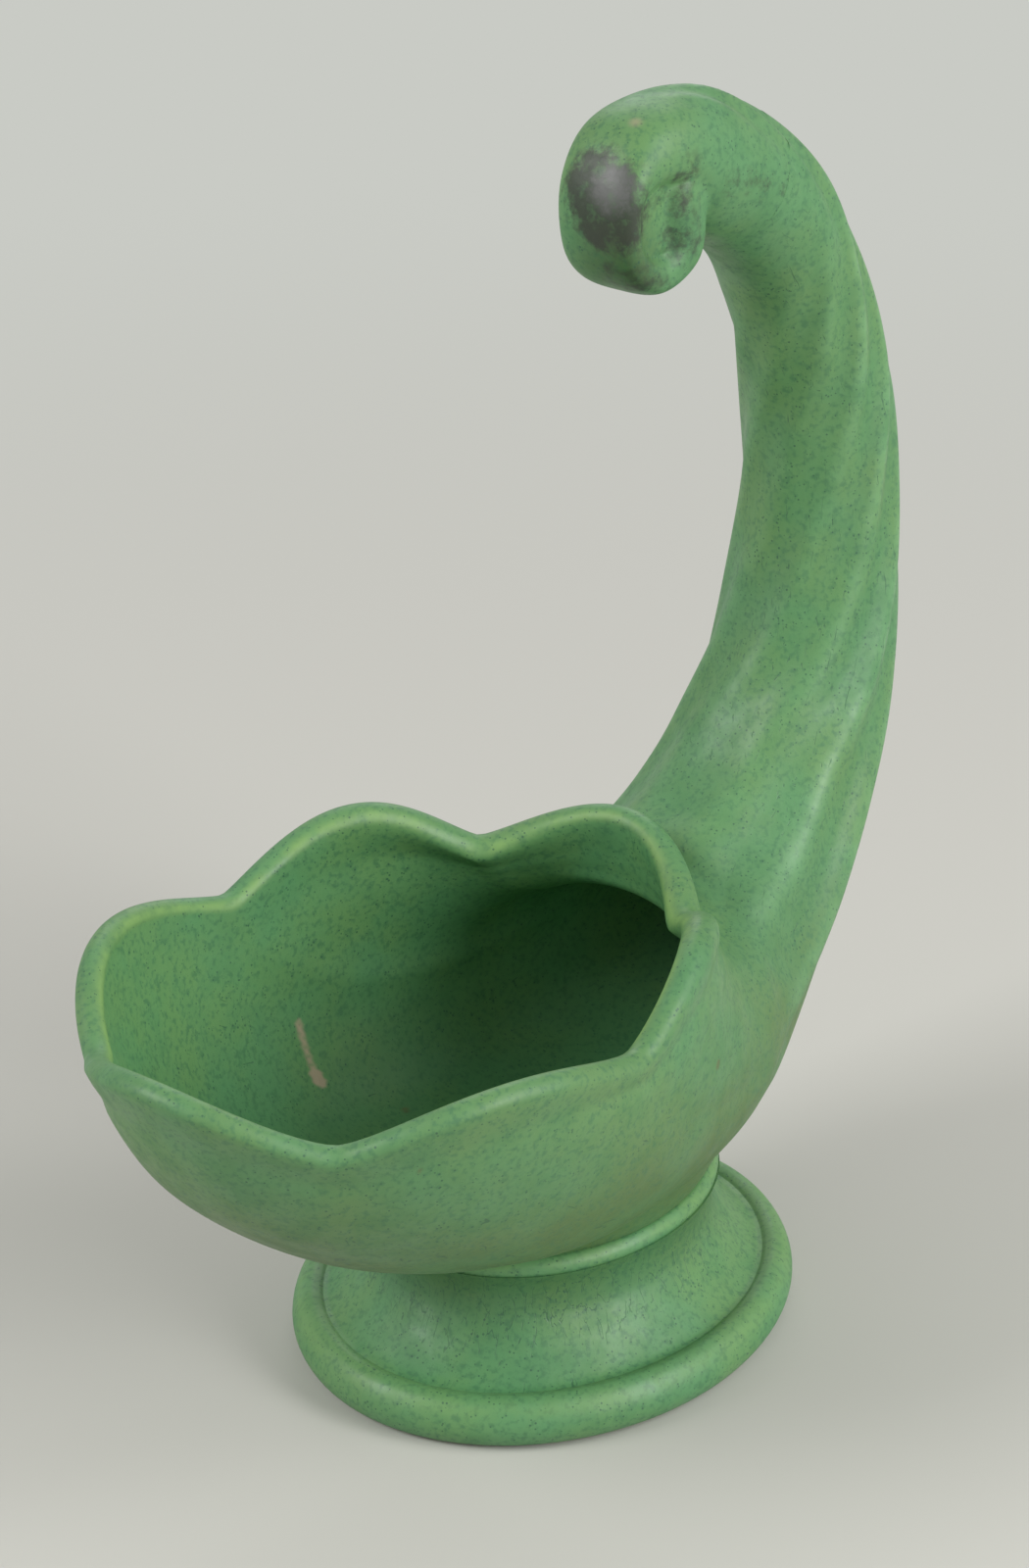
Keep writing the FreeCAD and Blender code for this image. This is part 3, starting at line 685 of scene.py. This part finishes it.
bowl_z, bowl_t = bowl_grid[..., 2], np.concatenate((up, 0 * over, down))
# Painted shade: the inside of the bowl darkens the deeper it lies below the rim.
store(bowl, "shade_and_pooled_glaze", is_inside * ramp((74 - bowl_z) / 44))
store(bowl, "olive_tone_and_shade", ~is_inside * (0.25 + 0.75 * ramp((84 - bowl_z) / 34)))
below_lip = ramp((bowl_t - 0.8) / 1.2) + 0 * theta
store(bowl, "craze", below_lip * np.where(is_inside, 0.25, 0.5) - (1 - below_lip))

run_of_slip = 0.55 * stroke(bowl_grid, (-24.6, 39.4, 58.6), (-25.2, 34.9, 50.2), 1.9)
drop = stroke(bowl_grid, (-25.2, 34.7, 49.6), (-25.0, 34.0, 48.2), 2.2)
store(bowl, "scar", np.maximum(run_of_slip, drop))
RUST_SPOTS = (((-6.9, -43.7, 71.3), 1.6), ((-81.2, -37.0, 82.2), 1.5),
              ((14.0, -27.5, 88.0), 4.0), ((-11.0, 24.5, 38.9), 1.4))
store(bowl, "rust", np.maximum.reduce([near(bowl_grid, *spot) for spot in RUST_SPOTS]))
store_flow(bowl, theta, HORN_FLOW_RADIUS, bowl_t * MM_PER_STATION * FLOW_STRETCH)
store_flutes(bowl, bowl_t, theta, ~is_inside)
print("points inside the bowl:", int(is_inside.sum()))

# %% Marks on the tail and the foot
tail_t = np.concatenate((rise, fall))
store(tail, "olive_tone_and_shade", 0.15 + 0 * tail_grid[..., 0])
store(tail, "craze", 0.7 + 0 * tail_grid[..., 0])
store_flow(tail, theta_tail, HORN_FLOW_RADIUS, tail_t * MM_PER_STATION * FLOW_STRETCH)
store_flutes(tail, tail_t, theta_tail, 1.0)

bead_z, is_outline = bead_profile[:, 1], bead_profile[:, 0] < GROOVE_SETBACK
bead_edge = 0.30 * is_outline * np.exp(-((bead_z - 8.6) / 1.5) ** 2)
store(bead, "edge", np.repeat(bead_edge, AROUND_FOOT))
store(bead, "clay", np.repeat(bead_z < 0.35, AROUND_FOOT))
store_flow(bead, around_foot, BEAD_FLOW_RADIUS, bead_z[:, None] * 0.5)
ring_edge = 0.40 * np.exp(-((ring_profile[:, 1] - SEAT_Z - 2.0) / 0.9) ** 2)
store(ring, "edge", np.repeat(ring_edge, AROUND_FOOT))

stem_x, stem_y, stem_z = points_of(stem).T
store(stem, "olive_tone_and_shade", 0.35 * ramp((stem_z - 14) / 12))
# Painted shade under the belly, with some glaze pooled at the top of the stem.
store(stem, "shade_and_pooled_glaze", 0.9 * ramp((stem_z - 15) / 7))
store(stem, "craze", 0.3 + 1.2 * ramp((stem_z - 11.5) / 5))
store_flow(stem, np.arctan2(stem_y / FOOT_HALF_WIDTH, stem_x / FOOT_HALF_LENGTH),
           STEM_FLOW_RADIUS, stem_z * 0.45)

# %% Smoke on the scroll, and painted shade under the roll
SMOKE_AND_SHADE_STROKES = (  # strength, start, end, radius
    (1.50, (9.6, -1.0, 219.5), (11.2, -3.5, 215.0), 12.0),
    (0.34, (37.9, -11.2, 215.2), (61.2, -12.0, 209.5), 5.0),
    (0.32, (51.3, -9.6, 201.7), (66.6, -12.8, 199.4), 5.0),
    (0.55, (24.5, -9.8, 218.0), (26.5, -9.8, 208.0), 9.0),
    # The last stroke darkens the underside of the roll: painted shade.
    (0.50, (8.5, -2.0, 205.0), (18.5, -8.0, 200.0), 9.0))
scroll_xyz = points_of(scroll)
smoke_and_shade = np.minimum(0.9, np.maximum.reduce([strength * stroke(scroll_xyz, start, end, radius)
                                           for strength, start, end, radius in SMOKE_AND_SHADE_STROKES]))
store(scroll, "smoke_and_shade", smoke_and_shade)
store(scroll, "mauve", near(scroll_xyz, (12.4, -3.8, 219.0), 8.0))
# The olive tint and the darkening near the underside of the roll are painted shade.
store(scroll, "olive_tone_and_shade", np.maximum(0.15, 1.3 * near(scroll_xyz, (14.0, -5.0, 206.5), 13.0)))
store(scroll, "shade_and_pooled_glaze", 1.9 * near(scroll_xyz, (12.5, -4.0, 204.5), 13.0))
store(scroll, "scar", 0.35 * near(scroll_xyz, (20.2, -2.9, 228.8), 3.0))
print("smoked points:", int((smoke_and_shade > 0.2).sum()))

# %% [markdown]
# ## The glaze
#
# A matte green glaze is cloudy: fine bluish and yellowish greens lie side by side, with
# dark specks of metal oxide, and short dark craze lines where it shrank. Clouds and specks
# are noise that reads the place on the object, so they go right through every joint. The
# craze lines read the flow of the skin, because on the pot they run along the horn. A
# photograph of glaze wrapped round the horn would stretch on the petals and show a seam.

# %% Colours, and one function that adds a node


def srgb(code):
    """Linear colour of an sRGB hex code: ((c + 0.055) / 1.055) ** 2.4 above 0.04045."""
    values = [int(code[k:k + 2], 16) / 255 for k in (1, 3, 5)]
    linear = [c / 12.92 if c <= 0.04045 else ((c + 0.055) / 1.055) ** 2.4 for c in values]
    return (*linear, 1.0)


def add(tree, kind, settings=None, **links):
    """Adds a node, sets its settings, and fills its sockets: a socket named in links gets
    either a link from another node's output or a plain value."""
    node = tree.nodes.new(kind)
    for key, value in (settings or {}).items():
        setattr(node, key, value)
    for key, value in links.items():
        socket = node.inputs[int(key[1:])] if key[0] == "_" else node.inputs[key.replace("__", " ")]
        if isinstance(value, bpy.types.NodeSocket):
            tree.links.new(value, socket)
        else:
            socket.default_value = value
    return node


MATHS, RANGE, BLEND = "ShaderNodeMath", "ShaderNodeMapRange", "ShaderNodeMix"
NOISE, CELLS, MARK = "ShaderNodeTexNoise", "ShaderNodeTexVoronoi", "ShaderNodeAttribute"
TIMES, PLUS, MINUS, LARGER = ({"operation": word}
                              for word in ("MULTIPLY", "ADD", "SUBTRACT", "MAXIMUM"))
SMOOTH = {"interpolation_type": "SMOOTHSTEP"}

# %% Noise on the object
# Each pattern: the size of one cell as it looks in the photograph, detail and roughness.
PATTERNS = {"cloud": (26.32 * MM, 4.0, 0.6), "blotch": (7.692 * MM, 3.0, 0.6),
            "grain": (1.111 * MM, 2.0, 0.5), "soot": (3.03 * MM, 4.0, 0.7)}


def noises(tree, place):
    """Numbers from 0 to 1 that change from place to place. The node counts the cells in a
    metre, which is 1 / size."""
    return {name: add(tree, NOISE, Vector=place, Scale=1 / cell, Detail=detail,
                      Roughness=roughness).outputs["Fac"]
            for name, (cell, detail, roughness) in PATTERNS.items()}


# %% Tints
TINTS = (  # painted mark, pattern, the range of it that counts, strength at both ends, tint
    ("", "cloud", (0.35, 0.65), (0.0, 1.0), "#638f58"),  # yellowish clouds
    ("", "blotch", (0.42, 0.72), (0.0, 0.5), "#4a8050"),  # darker blotches
    ("olive_tone_and_shade", "cloud", (0.30, 0.70), (0.55, 1.0), "#56703f"),  # browner under the rim, and painted shade under the roll
    ("", "grain", (0.46, 0.72), (0.0, 0.6), "#3c6c4b"),
    ("ridge", "blotch", (0.30, 0.70), (0.34, 0.08), "#83b482"),  # thin and pale, and partly a painted highlight
    ("valley", "cloud", (0.30, 0.70), (0.08, 0.28), "#3f7a4f"),  # thick and dark, and partly painted shade
    ("shade_and_pooled_glaze", "cloud", (0.30, 0.70), (0.35, 0.35), "#2b5a32"),  # painted shade, the same in every cloud
    ("edge", "blotch", (0.34, 0.62), (0.15, 0.80), "#86ab5f"))  # yellow-green on the lip


def tints(tree, pattern):
    """Strength and tint of each layer: the pattern's range turned into a strength, times
    the number painted on the points where the layer has one."""
    layers = []
    for mark, name, (low, high), (weak, strong), code in TINTS:
        strength = add(tree, RANGE, SMOOTH, _0=pattern[name], _1=low, _2=high,
                       _3=weak, _4=strong).outputs[0]
        if mark:
            painted = add(tree, MARK, {"attribute_name": mark}).outputs["Fac"]
            strength = add(tree, MATHS, TIMES, _0=painted, _1=strength).outputs[0]
        layers.append((strength, code))
    return layers


# %% Specks
SPECK, SPECK_GROUP, SPECK_SHARE = 1.111 * MM, 3.333 * MM, 0.31


def specks(tree, place):
    """Dark discs round random points. Their radius is a share of a coarser noise, so the
    specks come in groups and many points have none."""
    points = add(tree, CELLS, {"feature": "F1"}, Vector=place, Scale=1 / SPECK)
    group = add(tree, NOISE, Vector=place, Scale=1 / SPECK_GROUP, Detail=1.0, Roughness=0.55)
    radius = add(tree, MATHS, TIMES, _0=group.outputs["Fac"], _1=SPECK_SHARE)
    inside = add(tree, MATHS, MINUS, _0=radius.outputs[0], _1=points.outputs["Distance"])
    return add(tree, RANGE, SMOOTH, _0=inside.outputs[0], _1=-0.03, _2=0.05, _3=0.0,
               _4=0.7).outputs[0]


# %% Craze lines
# These read the flow, which is in mm. A craze line is drawn about 0.1 mm wide with soft
# sides, which is coarser than a real one, so that it shows in the render.
CRACK, CRACK_BEND, CRACK_BREAK = 2.381, 1.111, 1.111


def craze_lines(tree):
    """How dark a craze line is here: the borders of cells on the bent flow, kept only
    where a second noise is high, which leaves short broken lines."""
    flow = add(tree, MARK, {"attribute_name": "flow"}).outputs["Vector"]
    bend = add(tree, NOISE, Vector=flow, Scale=1 / CRACK_BEND, Detail=1.0)
    bent = add(tree, "ShaderNodeVectorMath", PLUS, _0=flow, _1=bend.outputs["Color"]).outputs[0]
    border = add(tree, CELLS, {"feature": "DISTANCE_TO_EDGE"}, Vector=bent, Scale=1 / CRACK)
    line = add(tree, RANGE, SMOOTH, _0=border.outputs["Distance"], _1=0.008, _2=0.035,
               _3=0.55, _4=0.0)
    breaks = add(tree, NOISE, Vector=bent, Scale=1 / CRACK_BREAK, Detail=2.0, Roughness=0.55)
    painted = add(tree, MARK, {"attribute_name": "craze"})
    more = add(tree, MATHS, TIMES, _0=painted.outputs["Fac"], _1=0.16)
    broken = add(tree, MATHS, PLUS, _0=breaks.outputs["Fac"], _1=more.outputs[0])
    kept = add(tree, RANGE, SMOOTH, _0=broken.outputs[0], _1=0.69, _2=0.75, _3=0.0, _4=1.0)
    return add(tree, MATHS, TIMES, _0=line.outputs[0], _1=kept.outputs[0]).outputs[0]


# %% Smoke and painted shade, rust and slip
STAINS_AND_SHADE = (  # painted mark, what the soot noise adds to it, the range that counts, strength
    ("smoke_and_shade", (-0.32, 0.22), (0.12, 0.85), 0.92, "#2f332b"),  # grey-black smoke, and painted shade under the roll
    ("mauve", (-0.25, 0.20), (0.15, 0.95), 0.50, "#79777a"),
    ("rust", (0.0, 0.0), (0.20, 0.60), 0.60, "#5f5a3a"),
    ("scar", (0.0, 0.0), (0.10, 0.55), 0.85, "#a8957f"))  # the run and drop of slip


def stains_and_shade(tree, soot):
    """Strength and tint of each stain, the smoke row also carrying the painted shade
    under the roll: the painted number, made ragged by soot noise, and turned into a
    strength over a range of its own."""
    layers = []
    for mark, (less, more), (low, high), strongest, code in STAINS_AND_SHADE:
        painted = add(tree, MARK, {"attribute_name": mark}).outputs["Fac"]
        ragged = add(tree, RANGE, SMOOTH, _0=soot, _1=0.3, _2=0.7, _3=less, _4=more)
        total = add(tree, MATHS, PLUS, _0=painted, _1=ragged.outputs[0])
        strength = add(tree, RANGE, SMOOTH, _0=total.outputs[0], _1=low, _2=high, _3=0.0,
                       _4=strongest).outputs[0]
        layers.append((strength, code))
    return layers


# %% The matte green glaze
BLUISH_GREEN, DARK_GREEN, BARE_CLAY = "#588d5d", "#28503f", "#8c7356"
BUMP_STRENGTH, BUMP_HEIGHT = 0.35, 0.4 * MM


def skin(tree, pattern, line):
    """Uneven skin: 0.35 of the grain plus the blotches, cut by half the craze line."""
    fine = add(tree, MATHS, TIMES, _0=pattern["grain"], _1=0.35)
    both = add(tree, MATHS, PLUS, _0=fine.outputs[0], _1=pattern["blotch"])
    cut = add(tree, MATHS, TIMES, _0=line, _1=0.5)
    height = add(tree, MATHS, MINUS, _0=both.outputs[0], _1=cut.outputs[0])
    return add(tree, "ShaderNodeBump", Strength=BUMP_STRENGTH, Distance=BUMP_HEIGHT,
               Height=height.outputs[0]).outputs[0]


def glaze():
    """Matte glaze on fired clay. It gives the eye a soft wide sheen without a mirror
    image: roughness 0.42 to 0.56 in blotches, and a faint unevenness like orange peel. Its
    colour also holds painted shade in the bowl, on the stem and under the roll, and painted
    highlight and shade on the flutes."""
    material = bpy.data.materials.new("matte_green_glaze")
    material.use_nodes = True
    tree = material.node_tree
    tree.nodes.clear()
    place = add(tree, "ShaderNodeTexCoord").outputs["Object"]
    pattern, line = noises(tree, place), craze_lines(tree)
    clay = add(tree, MARK, {"attribute_name": "clay"}).outputs["Fac"]
    layers = (tints(tree, pattern) + [(specks(tree, place), DARK_GREEN), (line, DARK_GREEN)]
              + stains_and_shade(tree, pattern["soot"]) + [(clay, BARE_CLAY)])
    colour = srgb(BLUISH_GREEN)
    for strength, code in layers:
        colour = add(tree, BLEND, {"data_type": "RGBA", "clamp_factor": True}, _0=strength,
                     _6=colour, _7=srgb(code)).outputs[2]
    gloss = add(tree, RANGE, SMOOTH, _0=pattern["blotch"], _1=0.3, _2=0.7, _3=0.42, _4=0.56)
    shader = add(tree, "ShaderNodeBsdfPrincipled", Base__Color=colour,
                 Roughness=gloss.outputs[0], Normal=skin(tree, pattern, line),
                 Specular__IOR__Level=0.5)
    add(tree, "ShaderNodeOutputMaterial", Surface=shader.outputs[0])
    return material


GLAZE = glaze()
PIECES = ((bowl, "horn_bowl"), (tail, "horn_tail"), (scroll, "tail_scroll"),
          (ring, "luting_ring"), (stem, "pedestal"), (bead, "foot_bead"))
for piece, node in PIECES:
    piece.data.materials.append(GLAZE)
    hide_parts(node)
    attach(piece, "root")
print("pieces:", len(PIECES), "nodes of the glaze:", len(GLAZE.node_tree.nodes))

# %% [markdown]
# ## Floor, light and camera
#
# The vase stands on a plain pale floor. Near the vase the floor is lit as it is and holds
# the shadow. Further off, what the camera sees of it fades to one pale tone, which the world
# has too, so the floor has no end from any side. A wall would do this for one view only.
# Two soft lamps stand in front and two behind, as the bright places on the pot ask. The
# camera looks from the side of the mouth, a little to the left of it and 26 degrees down.

# %% Pale floor
BACKGROUND = srgb("#c9cbc5")
FLOOR_RADIUS, FLOOR_CORNERS = 6.0, 64
FADE_FROM, FADE_TO = 0.20, 0.75  # metres from the middle of the vase


def seen(tree):
    """1 on rays by which the camera sees a thing itself, in a mirror or through glass."""
    rays = add(tree, "ShaderNodeLightPath").outputs
    direct = add(tree, MATHS, LARGER, _0=rays["Is Camera Ray"], _1=rays["Is Glossy Ray"])
    return add(tree, MATHS, LARGER, _0=direct.outputs[0],
               _1=rays["Is Transmission Ray"]).outputs[0]


turn = angles(FLOOR_CORNERS)
floor_points = FLOOR_RADIUS * np.stack((np.cos(turn), np.sin(turn), 0 * turn), axis=-1)
floor_mesh = bpy.data.meshes.new("floor")
floor_mesh.from_pydata(floor_points.tolist(), [], [list(range(FLOOR_CORNERS))])
floor = bpy.data.objects.new("floor", floor_mesh)
bpy.context.scene.collection.objects.link(floor)

paper = bpy.data.materials.new("pale_floor")
paper.use_nodes = True
tree = paper.node_tree
lit = tree.nodes["Principled BSDF"]
lit.inputs["Base Color"].default_value = srgb("#c4c3bc")
lit.inputs["Roughness"].default_value = 0.9
place = add(tree, "ShaderNodeTexCoord").outputs["Object"]
distance = add(tree, "ShaderNodeVectorMath", {"operation": "LENGTH"}, _0=place)
fade = add(tree, RANGE, SMOOTH, _0=distance.outputs["Value"], _1=FADE_FROM, _2=FADE_TO,
           _3=0.0, _4=1.0)
far = add(tree, MATHS, TIMES, _0=fade.outputs[0], _1=seen(tree)).outputs[0]
glow = add(tree, "ShaderNodeEmission", Color=BACKGROUND)
faded = add(tree, "ShaderNodeMixShader", _0=far, _1=lit.outputs[0], _2=glow.outputs[0])
tree.links.new(faded.outputs[0], tree.nodes["Material Output"].inputs["Surface"])
floor.data.materials.append(paper)
print("floor: %.0f m across, fading from %.2f to %.2f m" % (2 * FLOOR_RADIUS, FADE_FROM, FADE_TO))

# %% Lamps
MIDDLE_OF_VASE = Vector((0.0, 0.0, 0.11))
LAMPS = (  # name, place in metres, side in metres, watts
    ("key", (0.12, -1.36, 0.61), 0.6, 12.0), ("high", (0.37, -1.01, 1.08), 0.6, 6.0),
    ("side", (-1.03, 0.59, 0.94), 0.6, 11.0), ("rear", (1.06, 0.75, 0.80), 0.8, 3.0))
for name, spot, side, watts in LAMPS:
    data = bpy.data.lights.new(name, "AREA")
    data.size, data.energy = side, watts
    holder = bpy.data.objects.new(name, data)
    holder.location = spot
    way = MIDDLE_OF_VASE - Vector(spot)
    holder.rotation_euler = way.to_track_quat("-Z", "Y").to_euler()
    bpy.context.scene.collection.objects.link(holder)
    print("%s lamp: %.0f W, %.2f m from the vase" % (name, watts, way.length))

# %% World
ROOM_STRENGTH = 0.40
world = bpy.data.worlds.new("soft_room")
bpy.context.scene.world = world
world.use_nodes = True
tree = world.node_tree
room = tree.nodes["Background"]
room.inputs["Color"].default_value = (1, 1, 1, 1)
room.inputs["Strength"].default_value = ROOM_STRENGTH
shown = add(tree, "ShaderNodeBackground", Color=BACKGROUND)
both = add(tree, "ShaderNodeMixShader", _0=seen(tree), _1=room.outputs[0], _2=shown.outputs[0])
tree.links.new(both.outputs[0], tree.nodes["World Output"].inputs["Surface"])
print("the room gives white light of %.2f" % ROOM_STRENGTH)

# %% Camera
AZIMUTH, ELEVATION, DISTANCE = math.radians(-52), math.radians(26), 0.700
LENS_MM, SENSOR_MM, FAR_CLIP = 89.3, 36.0, 10.0
AIM = Vector((-0.00294, 0.00504, 0.1103))
back = Vector((math.sin(AZIMUTH) * math.cos(ELEVATION),
               -math.cos(AZIMUTH) * math.cos(ELEVATION), math.sin(ELEVATION)))
camera_data = bpy.data.cameras.new("camera")
camera_data.sensor_fit = "VERTICAL"
camera_data.sensor_height = SENSOR_MM
camera_data.lens = LENS_MM
camera_data.clip_end = FAR_CLIP
camera = bpy.data.objects.new("camera", camera_data)
camera.location = AIM + back * DISTANCE
camera.rotation_euler = back.to_track_quat("Z", "Y").to_euler()
bpy.context.scene.collection.objects.link(camera)
bpy.context.scene.camera = camera
bpy.context.scene.view_settings.view_transform = "Standard"
print("camera at", [round(value, 3) for value in camera.location])

# %% Finish
bpy.context.view_layer.update()
